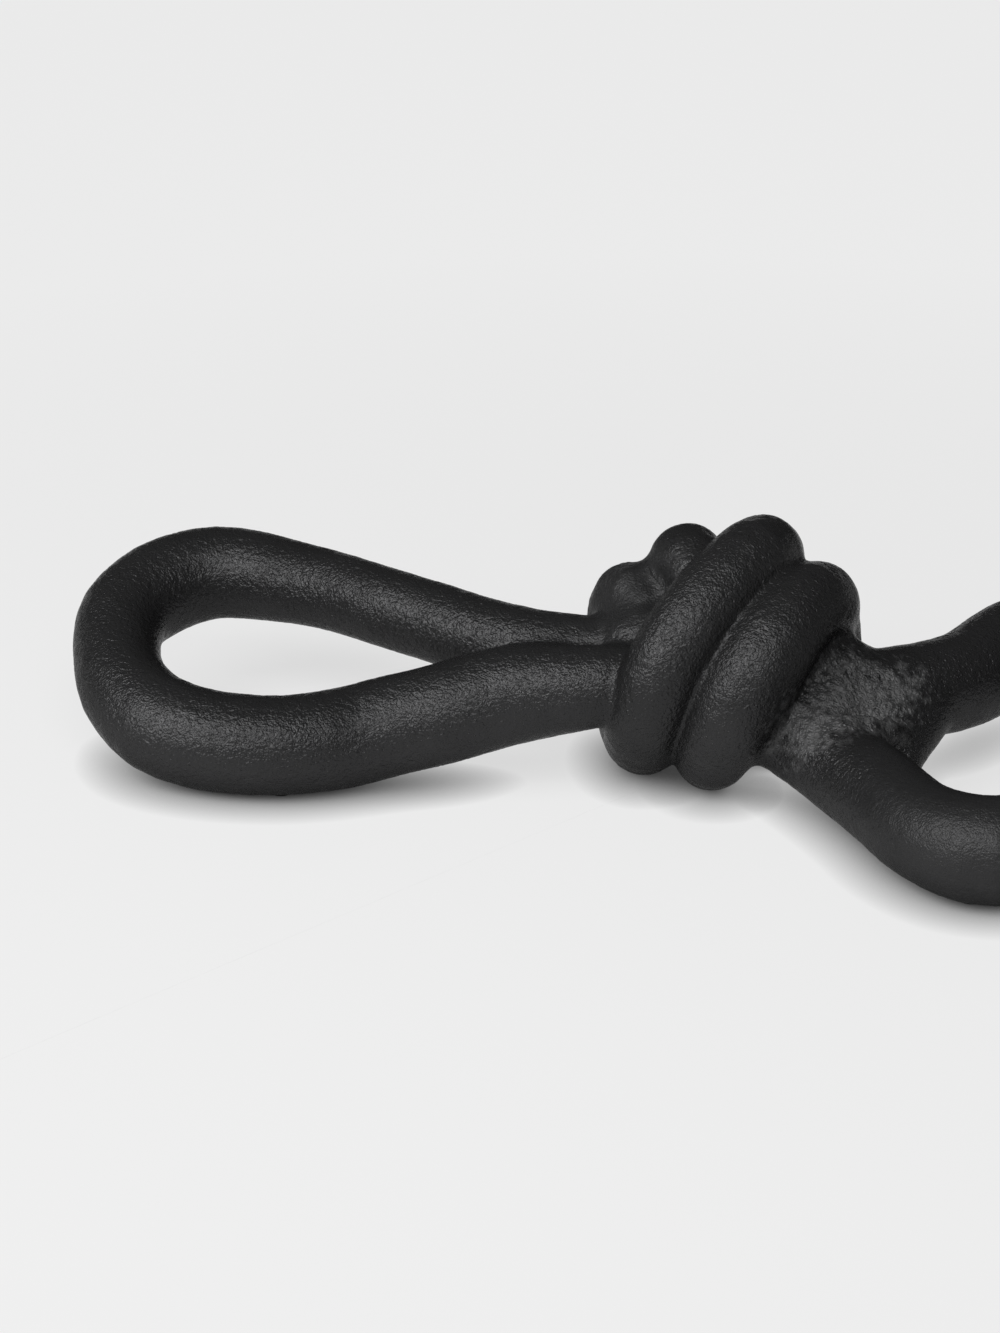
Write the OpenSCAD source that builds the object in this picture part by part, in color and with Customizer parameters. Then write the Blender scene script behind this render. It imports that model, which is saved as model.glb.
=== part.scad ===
// Cast metal knot sculpture: one thick strand, doubled and tied in an overhand knot,
// with an open loop at each end. It lies on a table on small pads.
// Frame: X along the sculpture, Y away from the front, Z up, origin on the table
// under the middle of the whole outline.

/* [Knot] */
// Thickness of the strand where it winds round the knot
turn_d = 24.8; // [21:0.2:27]
// Free radius inside the first turn
first_bore_r = 15; // [13:0.5:18]
// Free radius inside the second turn, which sits lower and further forward
second_bore_r = 9.6; // [8:0.2:12]
// How far the second turn's middle lies in front of the first turn's
turn_offset = 10; // [6:0.5:14]
// Radius of the hidden core that the turns are wound on
core_r = 19; // [16:0.5:22]

/* [Left loop] */
// Strand thickness at the heaviest place of the left loop
left_d = 30.6; // [26:0.2:33]
// From the knot's middle to the centre line of the far bend
left_reach = 189; // [165:1:220]
// Width of the left loop between centre lines
left_width = 85; // [74:1:100]
// Height of the raised rear leg's centre line above the table
left_rise = 39.5; // [34:0.5:46]

/* [Right loop] */
// Strand thickness at the heaviest place of the right loop
right_d = 31; // [27:0.2:34]
// From the knot's middle to the centre line of the far bend
right_reach = 140; // [122:1:165]
// Width of the right loop between centre lines
right_width = 133; // [116:1:150]
// Height of the far bend's centre line above the table
right_rise = 33.5; // [28:0.5:40]
// Thickness of the web that closes the fork of the right loop
web_t = 16; // [12:0.5:20]

/* [Feet] */
// Diameter of one pad
pad_d = 6; // [4:0.5:7]
// Thickness of one pad
pad_t = 1.3; // [1.3:0.1:2.5]
// Depth of the flats ground under the casting for the pads
flat_depth = 1.2; // [0.9:0.1:1.2]

/* [Fit] */
// Gap between two pieces that bear on each other along a curve
seat_gap = 0.1; // [0.05:0.05:0.3]

/* [Hidden] */

// Number of flat sides round a strand, and the distance between its rings
sides = 20;
ring_step = 7;
castings = "#2b2b2c";
// Lowest level of the strand's round section, which the flats cut away
ground = pad_t - flat_depth;
turn_r = turn_d / 2;

// Middle lines of the two turns: distance from the core's line, and its place
first_turn_r = first_bore_r + turn_r;
second_turn_r = second_bore_r + turn_r;
first_mid = [turn_offset, ground + turn_r + first_turn_r];
second_mid = [0, ground + turn_r + second_turn_r];

// A turn's rows hold: angle round the core (0 in front, 90 on top, 180 behind, 270 below),
// place along the knot in strand thicknesses, share of the turn's radius, share of thickness
first_rows = [
    [277, 0.86, 0.99, 0.97], [270, 0.86, 1.00, 1.00], [240, 0.78, 1.03, 0.95], [210, 0.62, 1.05, 0.97],
    [180, 0.50, 1.02, 0.98], [140, 0.46, 0.97, 1.00], [98, 0.44, 1.035, 1.00], [75, 0.12, 1.03, 0.99],
    [48, -0.30, 1.00, 0.97], [25, -0.62, 1.01, 0.96], [0, -0.87, 1.02, 0.96], [-30, -1.01, 0.98, 0.98],
    [-70, -1.00, 1.00, 1.00], [-90, -1.03, 1.00, 1.00], [-115, -1.10, 0.98, 0.98], [-140, -1.18, 0.98, 0.96]];
first_tail_rows = [
    [-172, -1.21, 0.93, 0.99], [-204, -1.14, 0.72, 0.99], [-224, -1.04, 0.55, 0.93],
    [-260, -0.90, 0.30, 0.75]];
second_rows = [
    [225, 1.06, 0.68, 0.74], [202, 1.20, 0.92, 0.90], [176, 1.23, 1.01, 0.98], [148, 1.17, 1.02, 1.00],
    [108, 1.10, 1.00, 1.01], [82, 0.84, 1.01, 1.02], [48, 0.51, 0.98, 1.06], [18, 0.23, 0.96, 1.12],
    [-8, 0.03, 0.96, 1.12], [-40, -0.15, 1.03, 0.97], [-70, -0.19, 1.09, 0.94], [-115, -0.24, 1.00, 0.94]];
second_tail_rows = [
    [-132, -0.32, 0.95, 0.93], [-160, -0.40, 0.98, 0.92], [-187, -0.44, 1.00, 0.92],
    [-214, -0.48, 1.00, 0.92], [-240, -0.46, 0.96, 0.95], [-264, -0.34, 0.77, 0.81],
    [-292, -0.15, 0.58, 0.56]];

// Routes of the loops at the size first drawn: X, Y, Z of the centre line and its radius.
// Each starts and ends inside the knot, and is stretched to the sizes above.
left_route = [
    [-22, -2, 36, 9.8], [-32, -7, 35, 11.6], [-43.5, -7.5, 33.3, 12.8], [-57, -4.5, 31, 14.5],
    [-69, -2.5, 28.2, 15.1], [-87, -4, 23.2, 15.3], [-99.5, -4, 20.1, 15.3], [-111.5, -5, 17.2, 15.3],
    [-123.5, -8.5, 16.2, 15.3], [-135.5, -10.5, 15.7, 15.1], [-148, -9.5, 15.8, 15.2],
    [-160.5, -6.3, 16.3, 15.3], [-173.5, 1, 18.2, 15.2], [-184.3, 16, 22.5, 14.1],
    [-189, 34.5, 27.3, 13.6], [-188, 53.5, 32.6, 14.3], [-178.3, 67.5, 36.7, 15.2],
    [-165.5, 74.5, 38.8, 15], [-152.5, 74.5, 39.4, 14.6], [-133, 65, 39.6, 13],
    [-120, 56.5, 39.5, 12.5], [-107, 46.5, 39.2, 12.3], [-94, 38, 38.1, 12.4], [-75, 25, 37, 12.4],
    [-57, 15.5, 36, 12.4], [-44.5, 13, 35.5, 12.4], [-33, 11, 36, 12], [-22, 9, 37, 10]];
right_route = [
    [8, -3, 24, 9.2], [14, -11, 21, 11.3], [24, -18, 19, 13.2], [34.5, -32.5, 16.4, 13.8],
    [44.7, -54, 15.7, 14], [52.3, -73, 15.8, 14.4], [65, -86, 15.9, 15.5], [78, -87, 17, 15.5],
    [95, -77, 20, 15.2], [115, -56.5, 26, 14.8], [132, -28, 31, 14.6], [140, 2, 33.5, 14.6],
    [134, 30, 32, 14.6],
    [116, 46, 29.6, 14.8], [99, 45, 28, 15.3], [87, 33, 26.6, 15.5], [74, 17.5, 25.7, 15.1],
    [59, 6, 26.7, 14.3], [46, 0, 28.5, 13.2], [33, -1, 31, 12], [20, 0, 33, 10]];

// Ends of the core's middle line and its step, in strand thicknesses, and how much it tapers
core_span = [-1.02, 1.42];
core_step = 0.305;
core_taper = 0.22;

// Balls of the web between the right legs: X, Y, Z at the same size and share of web_t / 2.
// The shoulder runs into the second turn, and the lip bounds the hole and hangs over the front leg
shoulder = [[20, -13, 27, 1.12], [32, -13, 26, 1], [28, -24, 22, 1.2]];
lip = [[32, -13, 26, 1], [50, -13, 26.2, 0.75], [54, -12, 16.8, 0.44], [52, -24, 14, 0.5]];

// Route points, front and rear, where the free loops end and the necks begin
left_cuts = [5, 22];
right_cuts = [4, 16];

// Route point of each loop, and rows of the first turn, that lie lowest, with a pad below
loop_pads = [9, 6];
turn_pads = [13, 1];

function column(rows, k) = [for (row = rows) row[k]];
function span(values) = max(values) - min(values);

// Stretches points as their loop's route is stretched to its reach, width, rise and thickness
function stretched(points, route, reach, width, rise, thick) =
    let (kx = reach / max([for (p = route) abs(p[0])]),
         ky = width / span(column(route, 1)),
         kr = thick / 2 / max(column(route, 3)),
         low = min(column(route, 2)),
         floor_z = ground + thick / 2,
         kz = (rise - floor_z) / span(column(route, 2)))
    [for (p = points) [p[0] * kx, p[1] * ky, floor_z + (p[2] - low) * kz, p[3] * kr]];
function on_right(points) = stretched(points, right_route, right_reach, right_width, right_rise, right_d);
function web(points) =
    let (at = on_right(points))
    [for (i = [0 : len(points) - 1]) [at[i][0], at[i][1], at[i][2], points[i][3] * web_t / 2]];

// Centre-line points of a turn from its rows
function wound(rows, mid, radius) =
    [for (row = rows)
        [row[1] * turn_d, mid[0] - row[2] * radius * cos(row[0]),
         mid[1] + row[2] * radius * sin(row[0]), row[3] * turn_r]];

// Smooth curve through the four points a, b, c, d, between b and c
function curve(a, b, c, d, t) =
    (2 * b + (c - a) * t + (2 * a - 5 * b + 4 * c - d) * t * t + (3 * b - a - 3 * c + d) * t * t * t) / 2;
function place(p) = [p[0], p[1], p[2]];
function rings_in(b, c) = max(1, round(norm(place(c) - place(b)) / ring_step));
function around(route, i) =
    [i == 0 ? 2 * route[0] - route[1] : route[i - 1], route[i], route[i + 1],
     i + 2 < len(route) ? route[i + 2] : 2 * route[i + 1] - route[i]];

// Number of the ring that lies on route point n
function ring_at(route, n) = n == 0 ? 0 : ring_at(route, n - 1) + rings_in(route[n - 1], route[n]);

// All centre-line stations of a route, with the last point closing the list
function stations(route) =
    [for (i = [0 : len(route) - 1])
        let (last = i == len(route) - 1,
             g = last ? [] : around(route, i),
             count = last ? 1 : rings_in(route[i], route[i + 1]))
        for (k = [0 : count - 1])
            last ? route[i] : curve(g[0], g[1], g[2], g[3], k / count)];

function unit(v) = v / norm(v);

// Rings of points round a route, grown by the given amount; side is the direction that
// the route never takes, from which each ring's points are counted
function rings(route, side, grow = 0) =
    let (line = stations(route), n = len(line))
    [for (i = [0 : n - 1])
        let (t = unit(place(line[min(i + 1, n - 1)]) - place(line[max(i - 1, 0)])),
             u = unit(cross(side, t)),
             v = cross(t, u),
             r = line[i][3] + grow)
        [for (k = [0 : sides - 1])
            place(line[i]) + r * (cos(360 * k / sides) * u + sin(360 * k / sides) * v)]];

left_line = stretched(left_route, left_route, left_reach, left_width, left_rise, left_d);
right_line = on_right(right_route);
first_line = concat(wound(first_rows, first_mid, first_turn_r),
                    wound(first_tail_rows, first_mid, first_turn_r));
second_line = concat(wound(second_rows, second_mid, second_turn_r),
                     wound(second_tail_rows, first_mid, first_turn_r));

left_rings = rings(left_line, [0, 0, 1]);
right_rings = rings(right_line, [0, 0, 1]);
first_rings = rings(first_line, [1, 0, 0]);
second_rings = rings(second_line, [1, 0, 0]);
first_last = ring_at(first_line, len(first_rows));
second_last = ring_at(second_line, len(second_rows));

// The outline's middle, which becomes the origin
outline = [for (ring = concat(left_rings, right_rings)) for (p = ring) p];
middle = [(max(column(outline, 0)) + min(column(outline, 0))) / 2,
          (max(column(outline, 1)) + min(column(outline, 1))) / 2, 0];

// Convex link between two neighbouring rings
module link(a, b) {
    hull() {
        polyhedron(
            points = concat(a, b),
            faces = concat(
                [[for (k = [sides - 1 : -1 : 0]) k]],
                [[for (k = [0 : sides - 1]) sides + k]],
                [for (k = [0 : sides - 1])
                    [k, (k + 1) % sides, sides + (k + 1) % sides, sides + k]]));
    }
}

// Strand made of links from one ring to another
module strand(loops, first, last) {
    for (i = [first : last - 1]) {
        link(loops[i], loops[i + 1]);
    }
}

module whole_strand(loops) {
    strand(loops, 0, len(loops) - 1);
}

// The same strands grown by the seat gap, to cut their neighbours to shape
module first_seat() {
    whole_strand(rings(first_line, [1, 0, 0], seat_gap));
}
module second_seat() {
    whole_strand(rings(second_line, [1, 0, 0], seat_gap));
}
module left_seat() {
    whole_strand(rings(left_line, [0, 0, 1], seat_gap));
}
module right_seat() {
    whole_strand(rings(right_line, [0, 0, 1], seat_gap));
}

// Everything below the flats
module below_flats() {
    reach = left_reach + right_reach + left_d + right_d;
    translate([-reach, -reach, pad_t - reach]) {
        cube([2 * reach, 2 * reach, reach]);
    }
}

// Brings a piece from the knot's frame to the table frame and grinds its flats
module finished() {
    translate(-middle) {
        difference() {
            children();
            below_flats();
        }
    }
}

// Round body over several points that hold X, Y, Z and a radius, grown by the given amount
module blend(points, grow = 0) {
    hull() {
        for (p = points) {
            translate(place(p)) {
                sphere(r = p[3] + grow, $fn = 20);
            }
        }
    }
}

module left_loop() {
    color(castings) finished() {
        strand(left_rings, ring_at(left_line, left_cuts[0]), ring_at(left_line, left_cuts[1]));
    }
}

// Both legs of the left loop where they run side by side into the knot
module left_neck() {
    color(castings) finished() {
        difference() {
            union() {
                strand(left_rings, 0, ring_at(left_line, left_cuts[0]));
                strand(left_rings, ring_at(left_line, left_cuts[1]), len(left_rings) - 1);
            }
            first_seat();
            second_seat();
        }
    }
}

module first_turn() {
    color(castings) finished() {
        strand(first_rings, 0, first_last);
    }
}

// End of the first turn, which rises behind the left neck and tucks in under the turn
module first_tail() {
    color(castings) finished() {
        difference() {
            strand(first_rings, first_last, len(first_rings) - 1);
            strand(rings(first_line, [1, 0, 0], seat_gap), 0, first_last - 3);
        }
    }
}

module second_turn() {
    color(castings) finished() {
        difference() {
            strand(second_rings, 0, second_last);
            first_seat();
        }
    }
}

// End of the second turn, the rear one of the two bumps on top
module second_tail() {
    color(castings) finished() {
        difference() {
            strand(second_rings, second_last, len(second_rings) - 1);
            first_seat();
        }
    }
}

// Web that closes the fork of the right legs, grown by the given amount
module right_web(grow = 0) {
    front_leg = [for (i = [1, 2]) right_line[i]];
    rear_leg = [for (i = [right_cuts[1] + 1 : len(right_line) - 1]) right_line[i]];
    blend(concat([rear_leg[2], rear_leg[3]], front_leg, web(shoulder)), grow);
    blend(concat([rear_leg[0], rear_leg[1]], web(lip)), grow);
}

// Both legs of the right loop where they fork from the knot, with the web between them
module right_neck() {
    color(castings) finished() {
        difference() {
            union() {
                strand(right_rings, 0, ring_at(right_line, right_cuts[0]));
                strand(right_rings, ring_at(right_line, right_cuts[1]), len(right_rings) - 1);
                right_web();
            }
            first_seat();
            second_seat();
        }
    }
}

module right_loop() {
    color(castings) finished() {
        strand(right_rings, ring_at(right_line, right_cuts[0]), ring_at(right_line, right_cuts[1]));
    }
}

// Hidden core that fills the space inside the turns, widest in the middle
module knot_core() {
    spine = [for (x = [core_span[0] : core_step : core_span[1]])
        [x * turn_d,
         turn_offset * (0.5 - 0.35 * x),
         first_mid[1] - (first_mid[1] - second_mid[1]) * (0.5 + 0.4 * x),
         core_r * (1 - core_taper * pow(abs(x), 1.5))]];
    color(castings) finished() {
        difference() {
            for (i = [0 : len(spine) - 2]) {
                blend([spine[i], spine[i + 1]]);
            }
            first_seat();
            second_seat();
            left_seat();
            right_seat();
            right_web(seat_gap);
        }
    }
}

module foot_pads() {
    color("#1a1a1a") {
        for (p = [left_line[loop_pads[0]], first_line[turn_pads[0]], first_line[turn_pads[1]],
                  right_line[loop_pads[1]]]) {
            translate([p[0] - middle[0], p[1] - middle[1], 0]) {
                cylinder(d = pad_d, h = pad_t, $fn = 48);
            }
        }
    }
}

left_loop();
left_neck();
first_turn();
first_tail();
second_turn();
second_tail();
knot_core();
right_neck();
right_loop();
foot_pads();
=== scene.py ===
# Looks of the cast metal knot sculpture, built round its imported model. The castings are fused
# into one skin, which is filled in the grooves, made uneven, and parted again into one piece
# for each casting, so that no seam shows between them.
# Metres, Z up, origin on the table under the middle of the outline.
import math

import bmesh
import bpy
import numpy as np
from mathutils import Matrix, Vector, noise
from mathutils.bvhtree import BVHTree


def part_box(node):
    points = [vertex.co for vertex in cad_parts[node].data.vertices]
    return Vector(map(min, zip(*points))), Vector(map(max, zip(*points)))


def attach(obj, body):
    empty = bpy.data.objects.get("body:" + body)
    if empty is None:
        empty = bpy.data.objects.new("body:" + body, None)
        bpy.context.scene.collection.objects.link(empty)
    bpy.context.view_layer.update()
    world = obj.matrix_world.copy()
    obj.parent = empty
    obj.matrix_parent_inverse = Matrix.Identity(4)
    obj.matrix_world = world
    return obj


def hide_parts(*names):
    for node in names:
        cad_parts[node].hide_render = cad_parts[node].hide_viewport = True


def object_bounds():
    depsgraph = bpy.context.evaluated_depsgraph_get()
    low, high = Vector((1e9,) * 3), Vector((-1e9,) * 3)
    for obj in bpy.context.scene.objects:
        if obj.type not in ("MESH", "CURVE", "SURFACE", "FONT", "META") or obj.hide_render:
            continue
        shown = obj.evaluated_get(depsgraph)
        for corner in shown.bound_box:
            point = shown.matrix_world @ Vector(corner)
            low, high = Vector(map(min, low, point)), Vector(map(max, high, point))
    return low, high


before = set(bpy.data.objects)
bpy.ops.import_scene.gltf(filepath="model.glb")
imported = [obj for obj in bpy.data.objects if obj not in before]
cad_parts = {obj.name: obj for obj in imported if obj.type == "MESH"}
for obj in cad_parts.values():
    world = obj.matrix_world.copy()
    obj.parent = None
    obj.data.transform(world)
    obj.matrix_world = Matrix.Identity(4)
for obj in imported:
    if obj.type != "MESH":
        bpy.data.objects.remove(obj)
cad_low, cad_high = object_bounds()

MM = 0.001

# The castings in the order in which they are parted from the fused body, and the hidden core last
CASTINGS = ("left_loop", "right_loop", "first_turn", "second_turn", "first_tail", "second_tail",
            "left_neck", "right_neck", "knot_core")

# Space round a casting in which it is parted: how far it reaches beyond the casting, its cell
# size and its rounds of smoothing. The casting with the web takes its lip along, so its space
# reaches further.
PART_GROWTH = 1.5 * MM
PART_VOXEL = 1.4 * MM
PART_ROUNDS = 2
WEB_NODE = "right_neck"
WEB_GROWTH = 3.5 * MM

# Points nearer to each other than this are merged, and loose scraps of fewer faces removed
MERGE = 0.01 * MM
SCRAP_FACES = 400

# Points of a CAD mesh are one point when they are the same in steps of this size, and no
# vector is divided by less than the length in TINY
SAME_POINT = 0.001 * MM
TINY = 1e-12

# Body of the casting: cell size of its mesh, rounds of smoothing that fill the grooves and
# how far each moves a point, how much larger the castings go in, which makes up for what the
# smoothing takes off, and the height below which the skin doesn't go
CELL = 0.7 * MM
GROOVE_ROUNDS = 40
SMOOTH_FACTOR = 0.5
GROWTH = 0.2 * MM
PAD_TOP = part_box("foot_pads")[1].z

# Grooves filled further: the two castings that meet there, and how far the fill reaches. It
# fades over the outer half of that, in a number of steps.
FILLED = (("second_turn", "right_neck", 9 * MM), ("first_tail", "left_neck", 8 * MM),
          ("first_tail", "second_tail", 6 * MM), ("second_tail", "knot_core", 6 * MM))
FILL_ROUNDS = 240
FILL_STEPS = 8

# Torn lip of the web above the front leg: middles and radii of the balls that make it
LIP = ((Vector((58, -22, 28)) * MM, 5.2 * MM), (Vector((64.5, -20, 26.8)) * MM, 5.2 * MM),
       (Vector((70.5, -17, 25)) * MM, 4.6 * MM), (Vector((75, -15, 23)) * MM, 3.4 * MM))
BALL_FINENESS = 3

# Unevenness of the cast surface: wave length and height
SWELL = (22 * MM, 0.35 * MM)
DIMPLE = (6 * MM, 0.12 * MM)
WRINKLE = (1.8 * MM, 0.14 * MM)
NOISE_SHIFT = Vector((3.1, 7.7, 1.3))

# The wrinkles are ridges where a noise crosses zero: how steep their sides are, how far they
# are lowered, so that the skin keeps its height, and how much the dimples bend them
WRINKLE_STEEPNESS = 2
WRINKLE_LEVEL = 0.6
WRINKLE_BEND = 0.1

# Rough skin on the web at the right neck: middle, reach, wave length and height, and how high
# and how steep its ridges are. It fades over the outer half of its reach.
WELD_AT = Vector((58, -8, 31)) * MM
WELD_REACH = 23 * MM
WELD = (1.6 * MM, 0.5 * MM)
WELD_LEVEL = 0.5
WELD_STEEPNESS = 2.5

# Small pit in that skin: middle, radius and depth. In radii of the pit: the width of its
# hollow, where its raised rim is highest and how wide that is, where both are gone, and how
# far to the right the rim opens. In depths of the pit: the rim's height. The last is the
# share of that height where the rim is open.
PIT_AT = Vector((71.8, -8.5, 29)) * MM
PIT_R = 1.9 * MM
PIT_DEPTH = 0.9 * MM
HOLLOW_WIDTH = 0.75
RIM_AT = 1.3
RIM_WIDTH = 0.35
PIT_REACH = 2.5
RIM_OPENING = 0.4
RIM_HEIGHT = 0.45
OPEN_SHARE = 0.25

# Edges sharper than this are shaded as edges
SHARP_ANGLE = math.radians(50)

# Noises in the skin's material: size, detail and, for the wrinkles, distortion
PATCHES = (28 * MM, 3)
GRAIN = (0.55 * MM, 1)
WRINKLES = (1.3 * MM, 1, 0.8)
TEARS = (1.0 * MM, 2)
RAGGED = (3 * MM, 5)

# Part of a noise's values that a ramp uses, and the narrower part for the skin's colour
NOISE_RANGE = (0.3, 0.7)
COLOUR_RANGE = (0.35, 0.65)

# Skin of the casting, between two colours and two roughnesses in patches: also the speckle of
# its roughness, its share of metal, its specular level and the tint of its edges
SKIN_COLOURS = ((0.030, 0.030, 0.0305), (0.036, 0.036, 0.0366))
SKIN_ROUGHNESS = (0.26, 0.21)
SPECKLE = 0.06
METAL = 0.6
SPECULAR = 0.3
EDGE_TINT = 0.3

# Depths of its bumps, and the strength of the wrinkles outside the calm places and in them
WRINKLE_BUMP = 0.5 * MM
WRINKLE_STRENGTH = (0.9, 0.25)
TEAR_BUMP = 0.8 * MM
GRAIN_BUMP = 0.25 * MM
GRAIN_STRENGTH = 1.0

# Calmer skin on the front of the right loop and on the tails: its middles, the distances
# within which it is full and beyond which it is gone, and how much rougher it is
CALM = ((Vector((98, -75, 25)) * MM, 30 * MM, 60 * MM),
        (Vector((-8, 24, 56)) * MM, 12 * MM, 28 * MM))
CALM_ROUGHNESS = 0.2

# Skin of the web: its paler colour, which is a painted highlight where the web faces the lamps,
# how much rougher it is than the rest, its share of metal, how uneven its edge is, and the
# round patches it is made of, each with its middle and the distances within which it is full
# and beyond which it is gone. The edges of the calm places are as uneven.
WEB_HIGHLIGHT_COLOUR = (0.085, 0.085, 0.0858)
WEB_ROUGHNESS = 0.12
WEB_METAL = 0.2
RAGGED_EDGE = 7 * MM
WEB_HIGHLIGHT_AND_TEAR = ((Vector((48, -21, 29)) * MM, 2 * MM, 14 * MM),
        (Vector((62, -12, 33)) * MM, 5 * MM, 19 * MM),
        (Vector((75, -6, 35)) * MM, 1 * MM, 11 * MM))

# Rubber of the pads: noise, the two colours it mixes, roughness, and the bump's depth and strength
PAD_SPECKS = (0.8 * MM, 2)
PAD_COLOURS = ((0.012, 0.012, 0.012), (0.022, 0.022, 0.022))
PAD_ROUGHNESS = 0.8
PAD_BUMP = (0.05 * MM, 0.5)

# Pale table: its colour and finish, its even glow to the camera, the share of that near the
# object and away from it with the distances, how far from the object the glow darkens in a
# painted contact shadow and its samples, and half the table's width in metres
TABLE = 0.82
TABLE_ROUGHNESS = 0.6
TABLE_SPECULAR = 0.1
GLOW = 0.84
EVEN_SHARE = (0.8, 0.97)
EVEN_REACH = (0.15, 0.6)
PAINTED_SHADOW_REACH = 14 * MM
PAINTED_SHADOW_SAMPLES = 16
TABLE_REACH = 40

# Soft square lamps with their place, side and power, the point they look at, and the white
# world's strength
LAMPS = (("left_window", (-1.13, -0.63, 1.02), 1.1, 26),
         ("front_window", (0, -1.15, 1.14), 1.0, 14))
LAMP_AIM = Vector((-0.04, 0, 0.03))
WORLD = 0.1

# Camera: it looks along +Y, tilted down, at a point and from a distance in metres. Its lens
# comes from a focal length in pixels of a picture this high, and from its sensor in mm.
IMAGE_HEIGHT = 1333
FOCAL_PIXELS = 3630
SENSOR = 36
AIM = Vector((-0.0447, 0.0065, 0.037))
DISTANCE = 1.1
TILT = math.radians(22)


def new_object(name, data):
    obj = bpy.data.objects.new(name, data)
    bpy.context.scene.collection.objects.link(obj)
    return obj


def mesh_of(node):
    """Points and triangles of a CAD node, with doubled points merged."""
    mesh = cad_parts[node].data
    mesh.calc_loop_triangles()
    points = np.zeros(len(mesh.vertices) * 3)
    mesh.vertices.foreach_get("co", points)
    corners = np.zeros(len(mesh.loop_triangles) * 3, np.int32)
    mesh.loop_triangles.foreach_get("vertices", corners)
    rounded = np.round(points.reshape(-1, 3) / SAME_POINT).astype(np.int64)
    _, first, index = np.unique(rounded, axis=0, return_index=True, return_inverse=True)
    return points.reshape(-1, 3)[first], index.reshape(-1)[corners].reshape(-1, 3)


def point_normals(points, faces):
    """Outward direction at each point, from the faces that meet there."""
    a, b, c = (points[faces[:, k]] for k in range(3))
    across = np.cross(b - a, c - a)
    total = np.zeros_like(points)
    for k in range(3):
        np.add.at(total, faces[:, k], across)
    return total / np.maximum(np.linalg.norm(total, axis=1, keepdims=True), TINY)


def ball(middle, radius):
    """Points and triangles of a ball."""
    shape = bmesh.new()
    bmesh.ops.create_icosphere(shape, subdivisions=BALL_FINENESS, radius=radius)
    points = np.array([v.co + middle for v in shape.verts])
    faces = np.array([[v.index for v in f.verts] for f in shape.faces])
    shape.free()
    return points, faces


def joined(name, nodes, growth=0.0, balls=()):
    """One new object of balls and of several CAD nodes, each node grown outward."""
    shapes = [ball(middle, radius) for middle, radius in balls]
    for node in nodes:
        points, faces = mesh_of(node)
        shapes.append((points + point_normals(points, faces) * growth, faces))
    all_points, all_faces, count = [], [], 0
    for points, faces in shapes:
        all_points.append(points)
        all_faces.append(faces + count)
        count += len(points)
    mesh = bpy.data.meshes.new(name)
    mesh.from_pydata(np.concatenate(all_points), [], np.concatenate(all_faces).tolist())
    return new_object(name, mesh)


def applied(obj):
    """Replaces an object's mesh by what its modifiers make of it."""
    graph = bpy.context.evaluated_depsgraph_get()
    made = bpy.data.meshes.new_from_object(obj.evaluated_get(graph))
    obj.modifiers.clear()
    obj.data = made


def add_smoothing(obj, rounds):
    smooth = obj.modifiers.new("smooth", "SMOOTH")
    smooth.factor = SMOOTH_FACTOR
    smooth.iterations = rounds
    return smooth


def remeshed(obj, cell, rounds):
    """Replaces an object's mesh by one even skin round it, smoothed."""
    remesh = obj.modifiers.new("remesh", "REMESH")
    remesh.mode = "VOXEL"
    remesh.voxel_size = cell
    add_smoothing(obj, rounds)
    applied(obj)


def arrays(obj):
    """Points and outward normals of an object's mesh."""
    count = len(obj.data.vertices)
    points, normals = np.zeros(count * 3), np.zeros(count * 3)
    obj.data.vertices.foreach_get("co", points)
    obj.data.vertices.foreach_get("normal", normals)
    return points.reshape(-1, 3), normals.reshape(-1, 3)


def set_points(obj, points):
    obj.data.vertices.foreach_set("co", points.ravel())
    obj.data.update()


def pit(v):
    """Depth of the pit and height of its rim at a point."""
    out = (v - PIT_AT).length / PIT_R
    if out > PIT_REACH:
        return 0
    share = 1 if v.x < PIT_AT.x + RIM_OPENING * PIT_R else OPEN_SHARE
    rim = RIM_HEIGHT * share * math.exp(-((out - RIM_AT) / RIM_WIDTH) ** 2)
    hollow = math.exp(-(out / HOLLOW_WIDTH) ** 2)
    return PIT_DEPTH * (rim - hollow)


def unevenness(points):
    """Height of the cast skin above the smooth form at each point."""
    heights = np.zeros(len(points))
    for i, p in enumerate(points):
        v = Vector(p)
        swell = noise.noise(v / SWELL[0] + NOISE_SHIFT)
        dimple = noise.noise(v / DIMPLE[0] - NOISE_SHIFT)
        bent = v / WRINKLE[0] + NOISE_SHIFT * (1 + WRINKLE_BEND * dimple)
        wrinkle = 1 - WRINKLE_STEEPNESS * abs(noise.noise(bent)) - WRINKLE_LEVEL
        heights[i] = swell * SWELL[1] + dimple * DIMPLE[1] + wrinkle * WRINKLE[1]
        away = (v - WELD_AT).length / WELD_REACH
        if away < 1:
            torn = WELD_LEVEL - abs(noise.noise(v / WELD[0] - NOISE_SHIFT)) * WELD_STEEPNESS
            heights[i] += min(1, 2 - 2 * away) * torn * WELD[1]
            heights[i] += pit(v)
    return heights


def gap_to(node, points, reach):
    """Distance from each point to a CAD node's surface, or the reach where it is farther."""
    corners, faces = mesh_of(node)
    tree = BVHTree.FromPolygons(corners.tolist(), faces.tolist())
    low, high = corners.min(axis=0) - reach, corners.max(axis=0) + reach
    near = np.all((points > low) & (points < high), axis=1)
    gaps = np.full(len(points), reach)
    for i in np.nonzero(near)[0]:
        found = tree.find_nearest(Vector(points[i]), reach)[3]
        gaps[i] = reach if found is None else found
    return gaps


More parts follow.
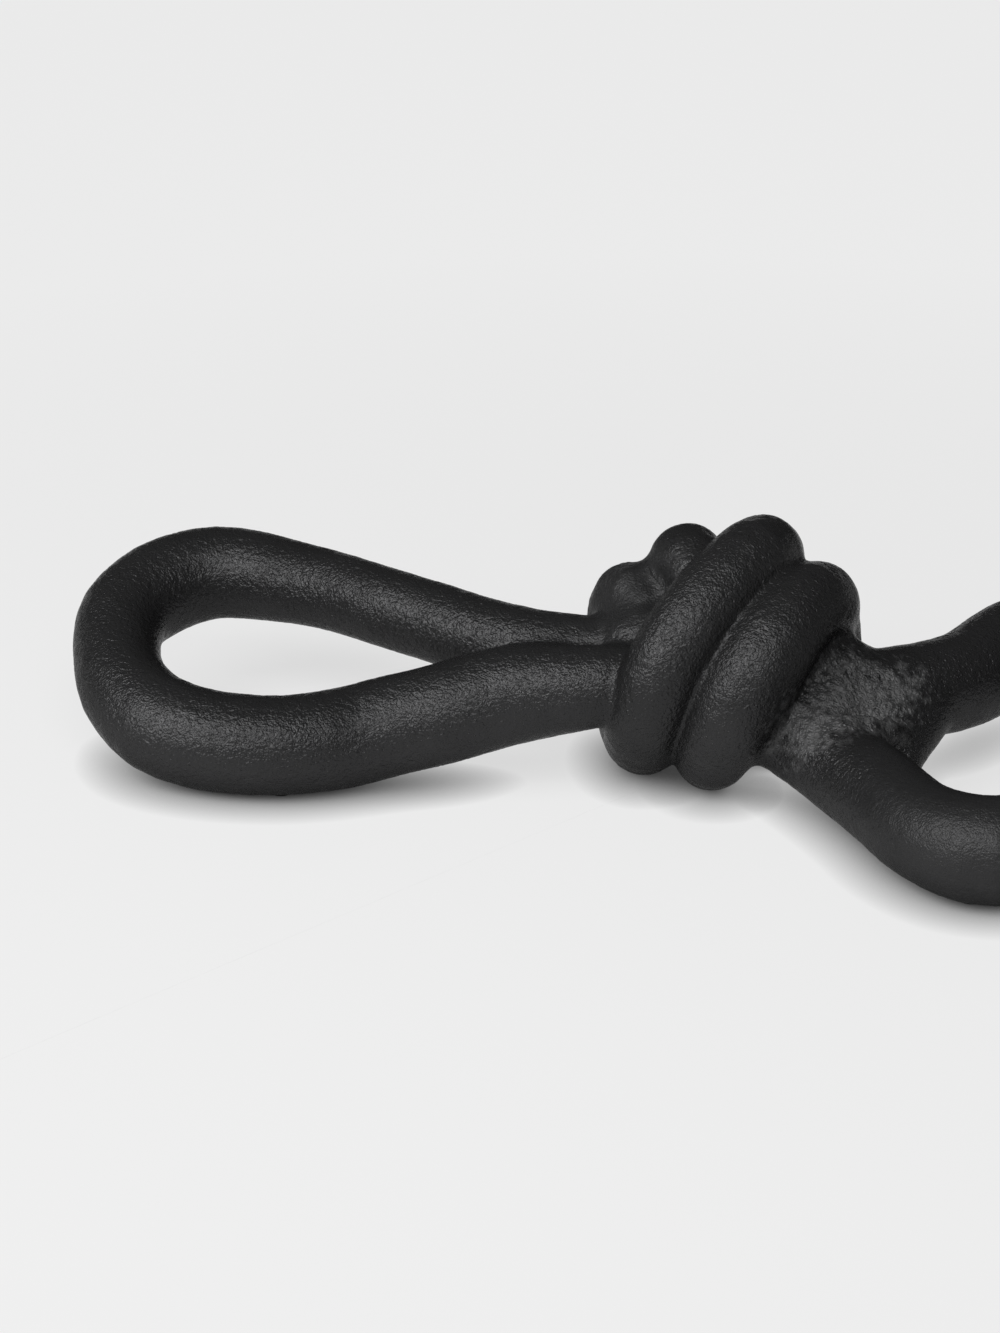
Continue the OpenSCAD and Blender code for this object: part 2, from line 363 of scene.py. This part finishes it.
def fill_grooves(body):
    """Smooths the skin further where two castings meet in a filled groove."""
    points, _ = arrays(body)
    weights = np.zeros(len(points))
    for first, second, reach in FILLED:
        gap = np.maximum(gap_to(first, points, reach), gap_to(second, points, reach))
        weights = np.maximum(weights, np.clip(2 - 2 * gap / reach, 0, 1))
    group = body.vertex_groups.new(name="filled")
    steps = np.round(weights * FILL_STEPS).astype(int)
    for step in range(1, FILL_STEPS + 1):
        group.add(np.nonzero(steps == step)[0].tolist(), step / FILL_STEPS, "REPLACE")
    add_smoothing(body, FILL_ROUNDS).vertex_group = group.name
    applied(body)


def fused_body():
    """The whole casting as one skin, with filled grooves and an uneven surface."""
    body = joined("fused_body", CASTINGS, GROWTH, LIP)
    remeshed(body, CELL, GROOVE_ROUNDS)
    fill_grooves(body)
    points, normals = arrays(body)
    points = points + normals * unevenness(points)[:, None]
    low = np.array([cad_low[0], cad_low[1], PAD_TOP])
    set_points(body, np.clip(points, low, np.array(cad_high)))
    return body


def space_round(node):
    """A closed space round one CAD node, a little larger than the node."""
    has_web = node == WEB_NODE
    obj = joined("space_" + node, [node], balls=LIP if has_web else ())
    remeshed(obj, PART_VOXEL, PART_ROUNDS)
    points, normals = arrays(obj)
    set_points(obj, points + normals * (WEB_GROWTH if has_web else PART_GROWTH))
    return obj


def boolean(obj, tool, operation):
    step = obj.modifiers.new("part", "BOOLEAN")
    step.operation = operation
    step.object = tool
    step.solver = "MANIFOLD"
    applied(obj)


def island(start, left):
    """Faces that hang together with one face, which are taken out of those left."""
    stack, found = [start], []
    while stack:
        face = stack.pop()
        found.append(face)
        for edge in face.edges:
            beside = edge.link_faces
            if len(beside) != 2:
                continue
            other = beside[0] if beside[1] == face else beside[1]
            if other in left:
                left.discard(other)
                stack.append(other)
    return found


def cleaned(obj):
    """Merges doubled points and removes the loose scraps that the cuts leave."""
    shape = bmesh.new()
    shape.from_mesh(obj.data)
    bmesh.ops.remove_doubles(shape, verts=shape.verts, dist=MERGE)
    bmesh.ops.dissolve_degenerate(shape, edges=shape.edges, dist=MERGE)
    bmesh.ops.triangulate(shape, faces=shape.faces)
    left, scraps = set(shape.faces), []
    while left:
        found = island(left.pop(), left)
        if len(found) < SCRAP_FACES:
            scraps += found
    bmesh.ops.delete(shape, geom=scraps, context="FACES")
    shape.to_mesh(obj.data)
    shape.free()


def parted(body):
    """Parts the fused body into one piece for each casting."""
    pieces = {}
    for node in CASTINGS[:-1]:
        space = space_round(node)
        piece = new_object(node + "_cast", body.data.copy())
        boolean(piece, space, "INTERSECT")
        boolean(body, space, "DIFFERENCE")
        bpy.data.objects.remove(space)
        pieces[node] = piece
    body.name = CASTINGS[-1] + "_cast"
    pieces[CASTINGS[-1]] = body
    for piece in pieces.values():
        cleaned(piece)
    return pieces


class Nodes:
    """Short ways to add and link the nodes of one material."""

    def __init__(self, name):
        self.material = bpy.data.materials.new(name)
        self.material.use_nodes = True
        self.tree = self.material.node_tree
        self.shader = self.tree.nodes["Principled BSDF"]
        self.place = self.add("ShaderNodeTexCoord").outputs["Object"]

    def add(self, kind, **settings):
        node = self.tree.nodes.new(kind)
        for key, value in settings.items():
            setattr(node, key, value)
        return node

    def give(self, socket, value):
        """Gives an input a number, a colour or another node's output."""
        if isinstance(value, bpy.types.NodeSocket):
            self.tree.links.new(value, socket)
        elif isinstance(value, tuple):
            socket.default_value = (*value, 1)
        else:
            socket.default_value = value

    def shade(self, **inputs):
        """Gives the shader its inputs, named with _ for each space."""
        for name, value in inputs.items():
            self.give(self.shader.inputs[name.replace("_", " ")], value)

    def noise(self, size, detail, distortion=0.0):
        node = self.add("ShaderNodeTexNoise")
        self.give(node.inputs["Vector"], self.place)
        self.give(node.inputs["Scale"], 1 / size)
        self.give(node.inputs["Detail"], detail)
        self.give(node.inputs["Distortion"], distortion)
        return node.outputs["Fac"]

    def ramp(self, source, low, high, value_low=0.0, value_high=1.0):
        """Value that goes evenly from one to another while the source goes from low to high."""
        node = self.add("ShaderNodeMapRange")
        self.give(node.inputs["Value"], source)
        self.give(node.inputs["From Min"], low)
        self.give(node.inputs["From Max"], high)
        self.give(node.inputs["To Min"], value_low)
        self.give(node.inputs["To Max"], value_high)
        return node.outputs["Result"]

    def around(self, middle, full, none, uneven):
        """1 within one distance of a point, 0 beyond another, with an uneven edge."""
        node = self.add("ShaderNodeVectorMath", operation="DISTANCE")
        node.inputs[1].default_value = middle
        self.give(node.inputs[0], self.place)
        return self.ramp(self.number("ADD", node.outputs["Value"], uneven), none, full)

    def number(self, operation, *values):
        """Result of one step of arithmetic."""
        node = self.add("ShaderNodeMath", operation=operation)
        for socket, value in zip(node.inputs, values):
            self.give(socket, value)
        return node.outputs["Value"]

    def weighted(self, source, factor, added):
        """One value times a factor, plus another value."""
        return self.number("MULTIPLY_ADD", source, factor, added)

    def largest(self, value, *others):
        for other in others:
            value = self.number("MAXIMUM", value, other)
        return value

    def mixed(self, factor, colour_a, colour_b):
        """Colour between two, each a colour or another node's output."""
        node = self.add("ShaderNodeMix", data_type="RGBA")
        first, second = [s for s in node.inputs if s.type == "RGBA"]
        self.give(first, colour_a)
        self.give(second, colour_b)
        self.give(node.inputs["Factor"], factor)
        return [s for s in node.outputs if s.type == "RGBA"][0]

    def bump(self, height, distance, strength, before=None):
        node = self.add("ShaderNodeBump")
        self.give(node.inputs["Height"], height)
        self.give(node.inputs["Distance"], distance)
        self.give(node.inputs["Strength"], strength)
        if before is not None:
            self.give(node.inputs["Normal"], before)
        return node.outputs["Normal"]


def cast_material():
    """Matte black skin over a sand casting: fine grain, short wrinkles, and a rough, torn web
    whose paler colour is a painted highlight.
    """
    n = Nodes("black_sand_cast")
    patches = n.noise(*PATCHES)
    grain = n.noise(*GRAIN)
    ragged = n.ramp(n.noise(*RAGGED), *NOISE_RANGE, -RAGGED_EDGE, RAGGED_EDGE)
    # Patches of the web: a painted highlight in their colour, and a rougher, torn skin
    web_highlight_and_tear = n.largest(*(n.around(*place, ragged) for place in WEB_HIGHLIGHT_AND_TEAR))
    calm = n.largest(*(n.around(*place, ragged) for place in CALM))
    colour = n.mixed(n.ramp(patches, *COLOUR_RANGE), *SKIN_COLOURS)
    shine = n.weighted(calm, CALM_ROUGHNESS, n.ramp(patches, *NOISE_RANGE, *SKIN_ROUGHNESS))
    speckled = n.weighted(n.ramp(grain, *NOISE_RANGE, -1, 1), SPECKLE, shine)
    wrinkle_strength = n.ramp(calm, 0, 1, *WRINKLE_STRENGTH)
    wrinkled = n.bump(n.noise(*WRINKLES), WRINKLE_BUMP, wrinkle_strength)
    torn = n.bump(n.noise(*TEARS), TEAR_BUMP, web_highlight_and_tear, wrinkled)
    # Base colour is paler on the web: a painted highlight
    n.shade(Base_Color=n.mixed(web_highlight_and_tear, colour, WEB_HIGHLIGHT_COLOUR),
            Roughness=n.weighted(web_highlight_and_tear, WEB_ROUGHNESS, speckled),
            Metallic=n.ramp(web_highlight_and_tear, 0, 1, METAL, WEB_METAL),
            Specular_IOR_Level=SPECULAR,
            Specular_Tint=(EDGE_TINT,) * 3,
            Normal=n.bump(grain, GRAIN_BUMP, GRAIN_STRENGTH, torn))
    return n.material


def pad_material():
    n = Nodes("pad_rubber")
    specks = n.noise(*PAD_SPECKS)
    n.shade(Base_Color=n.mixed(specks, *PAD_COLOURS),
            Roughness=PAD_ROUGHNESS,
            Normal=n.bump(specks, *PAD_BUMP))
    return n.material


def table_material():
    """Pale matte table that the camera, gloss and glass see with an even share of glow, which
    darkens near the object in a painted contact shadow.
    """
    n = Nodes("pale_floor")
    n.shade(Base_Color=(TABLE,) * 3,
            Roughness=TABLE_ROUGHNESS,
            Specular_IOR_Level=TABLE_SPECULAR)
    # Painted contact shadow: the glow darkens near the object
    painted_contact_shadow = n.add("ShaderNodeAmbientOcclusion", samples=PAINTED_SHADOW_SAMPLES)
    n.give(painted_contact_shadow.inputs["Distance"], PAINTED_SHADOW_REACH)
    n.give(painted_contact_shadow.inputs["Color"], (GLOW,) * 3)
    glow = n.add("ShaderNodeEmission")
    n.give(glow.inputs["Color"], painted_contact_shadow.outputs["Color"])
    rays = n.add("ShaderNodeLightPath").outputs
    seen = n.largest(rays["Is Camera Ray"], rays["Is Glossy Ray"], rays["Is Transmission Ray"])
    away = n.add("ShaderNodeVectorMath", operation="LENGTH")
    n.give(away.inputs[0], n.place)
    even = n.ramp(away.outputs["Value"], *EVEN_REACH, *EVEN_SHARE)
    blend = n.add("ShaderNodeMixShader")
    n.give(blend.inputs["Fac"], n.number("MULTIPLY", seen, even))
    n.give(blend.inputs[1], n.shader.outputs["BSDF"])
    n.give(blend.inputs[2], glow.outputs["Emission"])
    n.give(n.tree.nodes["Material Output"].inputs["Surface"], blend.outputs["Shader"])
    return n.material


def dress(pieces):
    """Gives each piece its skin and its place in the frame, and the pads their rubber."""
    skin = cast_material()
    for node, piece in pieces.items():
        mesh = piece.data
        mesh.materials.clear()
        mesh.materials.append(skin)
        mesh.shade_smooth()
        mesh.set_sharp_from_angle(angle=SHARP_ANGLE)
        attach(piece, "root")
        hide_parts(node)
    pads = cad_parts["foot_pads"].data
    pads.materials.clear()
    pads.materials.append(pad_material())


def floor():
    mesh = bpy.data.meshes.new("floor")
    signs = ((-1, -1), (1, -1), (1, 1), (-1, 1))
    corners = [(x * TABLE_REACH, y * TABLE_REACH, 0) for x, y in signs]
    mesh.from_pydata(corners, [], [(0, 1, 2, 3)])
    mesh.materials.append(table_material())
    new_object("floor", mesh)


def lamp(name, place, side, power):
    data = bpy.data.lights.new(name, "AREA")
    data.size = side
    data.energy = power
    obj = new_object(name, data)
    obj.location = place
    obj.rotation_euler = (LAMP_AIM - Vector(place)).to_track_quat("-Z", "Y").to_euler()


def lights():
    for settings in LAMPS:
        lamp(*settings)
    world = bpy.data.worlds.new("studio")
    world.use_nodes = True
    sky = world.node_tree.nodes["Background"]
    sky.inputs["Color"].default_value = (1, 1, 1, 1)
    sky.inputs["Strength"].default_value = WORLD
    bpy.context.scene.world = world
    bpy.context.scene.view_settings.view_transform = "Standard"


def camera():
    data = bpy.data.cameras.new("camera")
    data.sensor_fit = "VERTICAL"
    data.sensor_height = SENSOR
    data.lens = FOCAL_PIXELS * SENSOR / IMAGE_HEIGHT
    obj = new_object("camera", data)
    look = Vector((0, math.cos(TILT), -math.sin(TILT)))
    obj.location = AIM - look * DISTANCE
    obj.rotation_euler = look.to_track_quat("-Z", "Y").to_euler()
    bpy.context.scene.camera = obj


camera()
floor()
lights()
dress(parted(fused_body()))
